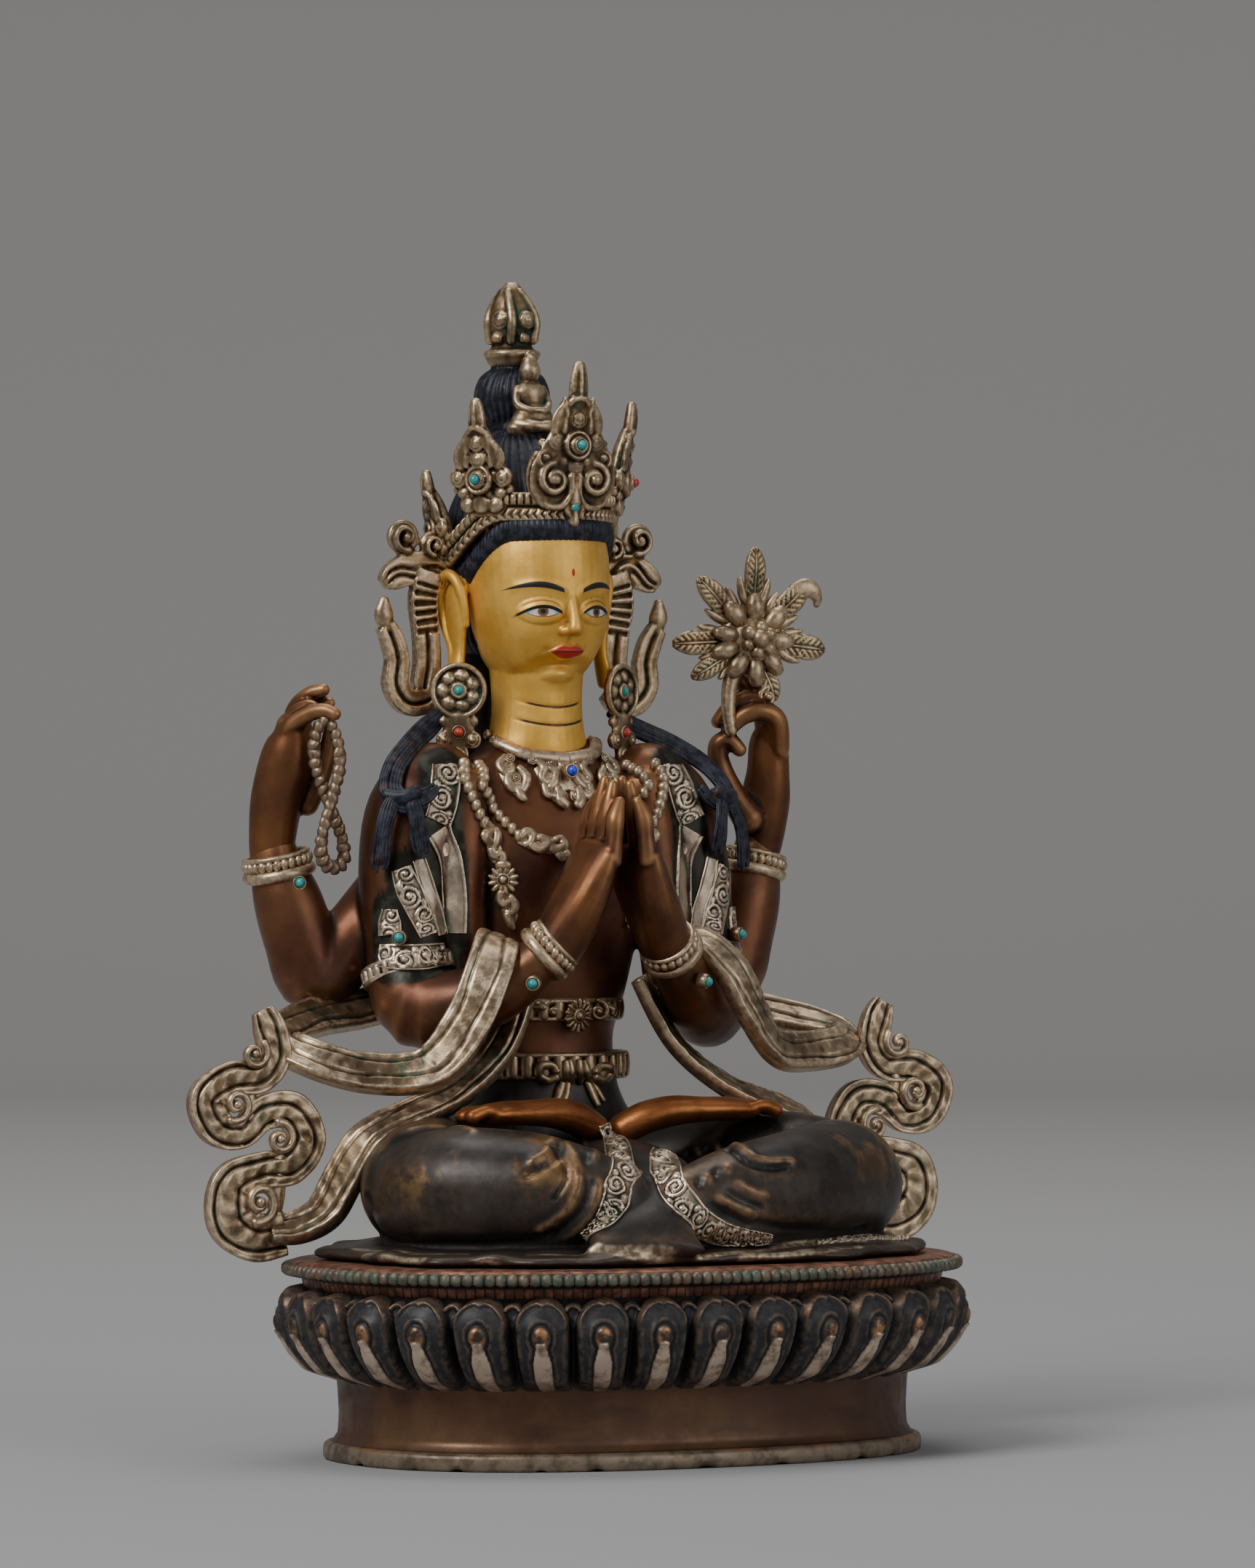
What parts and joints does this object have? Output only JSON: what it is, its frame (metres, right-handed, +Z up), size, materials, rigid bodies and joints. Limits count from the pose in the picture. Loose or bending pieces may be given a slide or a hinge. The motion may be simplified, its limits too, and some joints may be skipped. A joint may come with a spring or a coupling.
{
  "type": "statue",
  "caption": "Seated four-armed bodhisattva statue in oxidised and silvered copper, with crown, praying hands, rosary and lotus, on an oval lotus plinth.",
  "frame": {"origin": "middle of the plinth's underside", "axes": "+Z up through the seat to the finial; the figure faces -Y, and its right hand is at -X"},
  "size_m": [0.1568, 0.1017, 0.2124],
  "materials": {
    "dark_copper": "blackened copper, petal edges and foot rubbed bare",
    "copper": "oxidised brown copper, satin, rubbed highlights, gold paint on the face and dark blue on the hair",
    "silvered": "antique silvering with dark recesses",
    "turquoise": "polished cabochon",
    "coral": "polished cabochon",
    "lapis": "polished cabochon"
  },
  "bodies": {
    "root": {"lotus_plinth": "dark_copper", "figure": "copper", "crown": "silvered", "earring_right": "silvered", "earring_left": "silvered", "rosary": "silvered", "lotus_flower": "silvered", "scarf_end_right": "silvered", "scarf_end_left": "silvered", "armlet_right_turquoise": "turquoise", "armlet_left_turquoise": "turquoise", "bangle_right_turquoise": "turquoise", "bangle_left_turquoise": "turquoise", "raised_bangle_turquoise": "turquoise", "band_turquoise": "turquoise", "crown_front_turquoise": "turquoise", "crown_right_turquoise": "turquoise", "earring_right_turquoise": "turquoise", "earring_left_turquoise": "turquoise", "crown_left_coral": "coral", "earring_right_coral": "coral", "earring_left_coral": "coral", "necklace_lapis": "lapis"}
  },
  "joints": []
}
